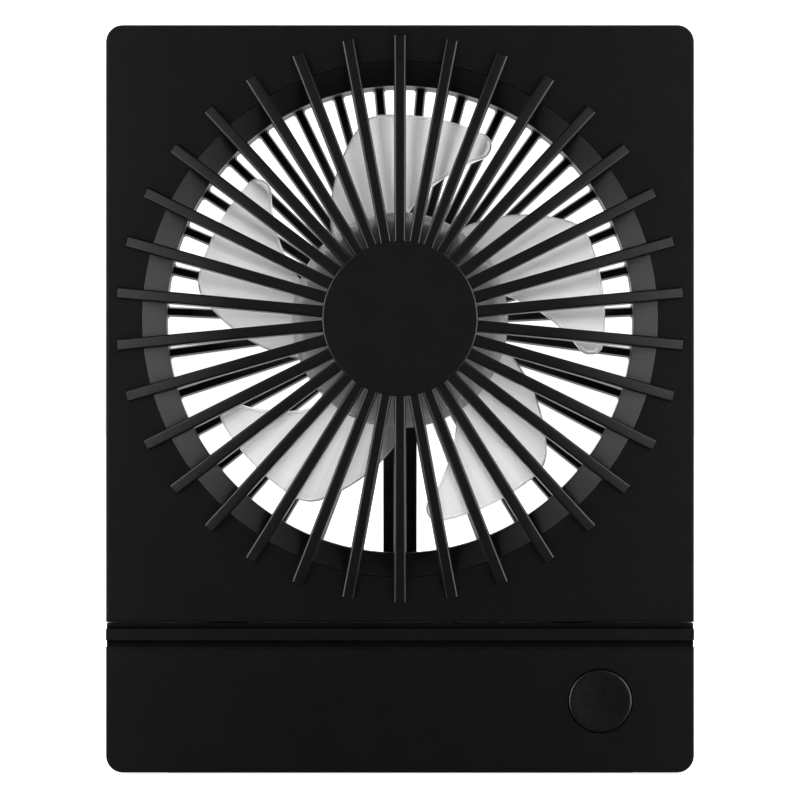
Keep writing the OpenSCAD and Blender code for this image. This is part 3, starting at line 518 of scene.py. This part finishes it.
def softened(node, name, body, material, radius, test=lambda co: True):
    """A CAD node's shape with its outward edges rounded as a moulding's are."""
    bm = merged_copy(node)
    fillet(bm, crests(bm, test), radius, 2)
    return piece(bm, name, body, material, [node])


def outer_skin(node, skin=0.7, corner=5.0):
    """A test for places on a cover's outer skin, with its rounded corners. The edge around the front ring
    stays sharp, so that the ring and the panel meet without a visible seam."""
    low, high = corners(node)

    def outside(co):
        side = abs(co.x) > high.x - skin
        cap = co.z < low.z + skin or co.z > high.z - skin
        near_cap = co.z < low.z + corner or co.z > high.z - corner
        round_corner = near_cap and abs(co.x) > high.x - corner
        seam = co.y < skin and math.hypot(co.x, co.z - AXIS_Z) < RING_R + 0.5
        return not seam and (side or cap or round_corner or co.y < skin or co.y > BACK_D - skin)
    return outside


# ---- screws, button and socket ----

def cross_screws(node, name, body):
    """Screws with a cross recess, their heads sunk in the back covers."""
    low, high = corners(node)
    head_r, shank_r, head_t = 2.1, 1.1, 1.4
    slot_half, slot_half_w, slot_deep, slot_taper = 1.35, 0.28, 0.8, 0.6
    top, tip = high.y, low.y
    places = [(x, z) for x in (low.x + head_r, high.x - head_r)
              for z in (low.z + head_r, high.z - head_r)]
    bm = bmesh.new()
    slots = [bmesh.new(), bmesh.new()]
    for x, z in places:
        turned(bm, [(0, top), (head_r, top), (head_r, top - head_t), (shank_r, top - head_t),
                    (shank_r, tip + 0.6), (0.4, tip), (0, tip)], 40, x, z)
        fillet(bm, hoop(bm, head_r, top, x, z), 0.35)
        for slot_bm, (wide, tall) in zip(slots, ((slot_half, slot_half_w), (slot_half_w, slot_half))):
            made = block(slot_bm, (x - wide, top - slot_deep, z - tall), (x + wide, top + 0.5, z + tall))
            for v in made:
                if v.co.y < top:
                    v.co.x = x + (v.co.x - x) * slot_taper
                    v.co.z = z + (v.co.z - z) * slot_taper
    for slot_bm in slots:
        bm = joined(bm, slot_bm, "DIFFERENCE")
    return piece(bm, name, body, ZINC, [node], 35)


def button():
    """Round key with a shallow dish for the fingertip and a rounded rim."""
    low, high = corners("button_cap")
    x, z = (low.x + high.x) / 2, (low.z + high.z) / 2
    flange_r = (high.x - low.x) / 2
    cap_r = flange_r - 1.4
    front, back = low.y, high.y
    dish = [(cap_r - 0.9, front), (cap_r - 1.6, front + 0.04), (cap_r - 3.2, front + 0.13),
            (cap_r - 5.6, front + 0.2), (0, front + 0.22)]
    bm = bmesh.new()
    turned(bm, [(cap_r, front), *dish, (0, back), (2, back), (2, 3.2), (flange_r, 3.2), (flange_r, 2.2),
                (cap_r, 2.2)], 96, x, z)
    fillet(bm, hoop(bm, cap_r, front, x, z), 0.4, 4)
    return piece(bm, "button_key", "button", BUTTON, ["button_cap"], 30)


def socket_tongue():
    """Contact tongue inside the charging socket."""
    low, high = corners("charging_socket")
    middle = (low + high) / 2
    bm = bmesh.new()
    half_t, half_w = 0.35, 3.3
    block(bm, (low.x + 0.5, middle.y - half_t, middle.z - half_w),
          (high.x - 0.9, middle.y + half_t, middle.z + half_w))
    fillet(bm, bm.edges[:], 0.12, 2)
    return piece(bm, "socket_tongue", "base", SWITCH, [])


# ---- impeller ----

def blade_depth(turn):
    """Depth of a blade's middle at a share of its angle, steeper towards its back edge."""
    run = BLADE_BACK - BLADE_FRONT - BLADE_T
    return BLADE_FRONT + BLADE_T / 2 + run * (turn + 0.08 * math.sin(math.tau * turn))


def corner_cut(radius, rounding, side):
    """Degrees that a rounded tip corner takes off a blade's edge at a radius. The back corner (side 1) is
    sharp and the front one (side -1) blunt, because the blade is swept."""
    slope = math.radians(BLADE_SWEEP) * TIP_R
    slant = math.hypot(1, slope)
    over = radius - TIP_R
    if over < -rounding * (1 + side * slope / slant):
        return 0.0
    gap = side * slope * over + rounding * (slant + side * slope)
    gap -= math.sqrt(max(0.0, rounding ** 2 - (over + rounding) ** 2))
    return math.degrees(gap / radius)


def edge_half(gap):
    """Half of a blade's thickness at a distance from its outline, which is rounded."""
    over = max(0.0, BLADE_ROUND - gap)
    return BLADE_T / 2 - BLADE_ROUND + math.sqrt(BLADE_ROUND ** 2 - over ** 2)


def impeller():
    """Hub and five swept blades, one milky moulding."""
    hub = bmesh.new()
    yoke_r = corners("rotor_yoke")[1].x
    yoke_front, yoke_back = (c.y for c in corners("rotor_yoke"))
    bush_r = corners("hub_bush")[1].x
    sleeve_r, sleeve_back = yoke_r + 0.05, yoke_back - 1
    turned(hub, [(bush_r, HUB_FRONT), (HUB_R, HUB_FRONT), (HUB_R, HUB_BACK), (HUB_R - HUB_WALL, HUB_BACK),
                 (HUB_R - HUB_WALL, yoke_front), (sleeve_r + 1, yoke_front), (sleeve_r + 1, sleeve_back),
                 (sleeve_r, sleeve_back), (sleeve_r, yoke_front), (bush_r, yoke_front)], 160)
    fillet(hub, hoop(hub, HUB_R, HUB_FRONT), HUB_FILLET, 6)
    fillet(hub, hoop(hub, HUB_R, HUB_BACK), 0.3, 2)

    blades = bmesh.new()
    root_r = HUB_R - 0.5
    # distances from an edge where the rounding and the bead need points, and evenly spaced points between
    near = [0, 0.06, 0.18, BLADE_ROUND, BEAD_W, BEAD_W + BEAD_SLOPE_W]
    rows = [root_r + (TIP_R - near[-1] - root_r) * math.sin(i * math.pi / 60) for i in range(30)]
    rows += [TIP_R - gap for gap in (near[-1], BEAD_W, 0.65, BLADE_ROUND, 0.18, 0.06, 0.02, 0)]
    inner = 26
    last_row, last_column = len(rows) - 1, 2 * len(near) + inner - 2
    bmesh.ops.create_grid(blades, x_segments=last_column, y_segments=last_row, size=1)
    thickness = blades.verts.layers.float.new("thickness")
    for v in blades.verts:
        column, r = round((v.co.x + 1) / 2 * last_column), rows[round((v.co.y + 1) / 2 * last_row)]
        first = BLADE_START + BLADE_SWEEP * (r - HUB_R)
        start = first + corner_cut(r, BLADE_FRONT_CORNER, -1)
        end = first + BLADE_SPAN - corner_cut(r, BLADE_BACK_CORNER, 1)
        length = math.radians(end - start) * r
        steps = [near[-1] + (length - 2 * near[-1]) * i / inner for i in range(1, inner)]
        along = (near + steps + [length - gap for gap in reversed(near)])[column]
        angle = math.radians(start) + along / r
        gap = min(along, length - along, TIP_R - r)
        depth = blade_depth((math.degrees(angle) - first) / BLADE_SPAN)
        v.co = (r * math.sin(angle), depth + edge_half(gap), AXIS_Z + r * math.cos(angle))
        v[thickness] = 2 * edge_half(gap) + BEAD_HEIGHT * (gap < BEAD_W + 0.01)
    made = bmesh.ops.extrude_face_region(blades, geom=blades.faces[:])["geom"]
    for v in made:
        if isinstance(v, bmesh.types.BMVert):
            v.co.y -= v[thickness]
    bmesh.ops.recalc_face_normals(blades, faces=blades.faces)
    repeat(blades, blades.verts[:] + blades.edges[:] + blades.faces[:], BLADES, 360 / BLADES)
    return piece(joined(hub, blades), "impeller", "rotor", MILKY, ["impeller_hub", "impeller_blades"],
                 45)


# ---- what shows of the frame itself ----

CARRIED = {
    GUARD: ["air_duct"],
    ZINC: ["duct_screws", "arm_screws", "bar_screws", "board_screws", "shaft_clip", "rotor_yoke"],
    STAINLESS: ["hinge_arms"],
    BRIGHT_STEEL: ["bearing_front", "bearing_rear", "motor_shaft", "hinge_pins", "foot_pins"],
    BRASS: ["bearing_tube", "hub_bush", "friction_washers"],
    NICKEL: ["charging_socket"],
    COPPER: ["stator_coils"],
    LAMINATED: ["stator_core"],
    MAGNET: ["rotor_magnet"],
    RUBBER: ["base_pad", "foot_pads"],
    CABLE: ["motor_cable", "base_cable"],
    BOARD: ["motor_board", "main_board"],
    SWITCH: ["push_switch"],
    ACETAL: ["switch_plunger"],
    WRAP: ["battery"],
    FOAM: ["battery_foam"],
}


def dress_carried():
    """Gives each CAD node that stays its finish."""
    for material, names in CARRIED.items():
        for name in names:
            mesh = frame["nodes"][name].data
            mesh.materials.clear()
            mesh.materials.append(material)


# ---- camera, light and floor ----

def camera():
    """Straight in front, level with the middle of the fan."""
    data = bpy.data.cameras.new("camera")
    data.lens, data.sensor_width = 117.9, 36
    data.clip_start, data.clip_end = 0.01, 50
    made = bpy.data.objects.new("camera", data)
    made.location = (0, FACE_Y - 0.65, 0.0929)
    made.rotation_euler = (math.radians(90), 0, 0)
    bpy.context.scene.collection.objects.link(made)
    bpy.context.scene.camera = made


def softbox(name, place, aim, width, height, power):
    data = bpy.data.lights.new(name, "AREA")
    data.shape, data.size, data.size_y, data.energy = "RECTANGLE", width, height, power
    made = bpy.data.objects.new(name, data)
    made.location = place
    made.rotation_euler = (Vector(aim) - Vector(place)).to_track_quat("-Z", "Y").to_euler()
    bpy.context.scene.collection.objects.link(made)


def pale(name, colour, near_glow, far_glow):
    """Matt white paper: even and pale, so that only the fan draws the eye. It glows evenly from 2 m on, so
    that no line shows where the floor ends."""
    material, tree, shader, coords = finish_named(name, Roughness=0.9)
    shader.inputs["Emission Color"].default_value = linear("#ffffff")
    reach = add(tree, "ShaderNodeVectorMath", {0: coords}, operation="LENGTH")
    glow = spread(tree, reach.outputs["Value"], near_glow, far_glow, 0.35, 2)
    link(tree, glow, shader, "Emission Strength")
    fibre = add(tree, "ShaderNodeTexNoise", {"Vector": coords, "Scale": per_metre(40), "Detail": 2})
    shade = spread(tree, fibre.outputs["Fac"], 0, 1)
    link(tree, tones(tree, shade, colour, "#ffffff"), shader, "Base Color")
    return material


def studio():
    """A white room: floor, far surround, two softboxes on each side and one above and behind."""
    bm = bmesh.new()
    bmesh.ops.create_circle(bm, cap_ends=True, segments=96, radius=6)
    mesh = bpy.data.meshes.new("floor")
    bm.to_mesh(mesh)
    bm.free()
    mesh.materials.append(pale("white paper floor", "#f4f4f4", 0.75, 1.0))
    floor = bpy.data.objects.new("floor", mesh)
    floor.visible_glossy = False
    bm = bmesh.new()
    bmesh.ops.create_uvsphere(bm, u_segments=48, v_segments=24, radius=7)
    bmesh.ops.reverse_faces(bm, faces=bm.faces)
    mesh = bpy.data.meshes.new("surround")
    bm.to_mesh(mesh)
    bm.free()
    mesh.materials.append(pale("white surround", "#ffffff", 1.0, 1.0))
    surround = bpy.data.objects.new("surround", mesh)
    surround.visible_diffuse = surround.visible_glossy = surround.visible_shadow = False
    for made in (floor, surround):
        bpy.context.scene.collection.objects.link(made)

    softbox("left softbox", (-0.56, -0.6, 0.2), (0, 0, 0.11), 0.36, 0.85, 2.5)
    softbox("right softbox", (0.56, -0.6, 0.2), (0, 0, 0.11), 0.36, 0.85, 2.5)
    softbox("left edge softbox", (-0.95, -0.25, 0.2), (0, 0, 0.11), 0.4, 0.9, 7)
    softbox("right edge softbox", (0.95, -0.25, 0.2), (0, 0, 0.11), 0.4, 0.9, 7)
    softbox("back softbox", (0, 0.9, 1.3), (0, 0.1, 0), 1.4, 0.8, 14)

    world = bpy.data.worlds.new("studio")
    world.use_nodes = True
    bpy.context.scene.world = world
    tree = world.node_tree
    way = add(tree, "ShaderNodeTexCoord").outputs["Generated"]
    parts = add(tree, "ShaderNodeSeparateXYZ", {"Vector": way})
    glow = spread(tree, parts.outputs["Y"], 0.003, 1.0, 0.0, 0.6)
    tree.links.new(glow, tree.nodes["Background"].inputs["Strength"])
    tree.nodes["Background"].inputs["Color"].default_value = (1, 1, 1, 1)
    bpy.context.scene.view_settings.view_transform = "Standard"


camera()
studio()
dress_carried()
front_grille()
rear_guard()
impeller()
for node, name, body, slot in (("head_front_cover", "head_panel", "head", "cover_black"),
                               ("head_rear_cover", "head_back", "head", "cover_black_back"),
                               ("base_front_cover", "base_panel", "base", "cover_black"),
                               ("base_rear_cover", "base_back", "base", "cover_black_back"),
                               ("hinge_bar", "hinge_strip", "base", "cover_black"),
                               ("foot", "fold_out_foot", "foot", "cover_black_back")):
    softened(node, name, body, COVER, COVER_FILLET, outer_skin(node))
softened("duct_cover", "cable_cover", "head", GUARD, CABLE_COVER_FILLET)
cross_screws("head_screws", "head_cross_screws", "head")
cross_screws("base_screws", "base_cross_screws", "base")
button()
socket_tongue()
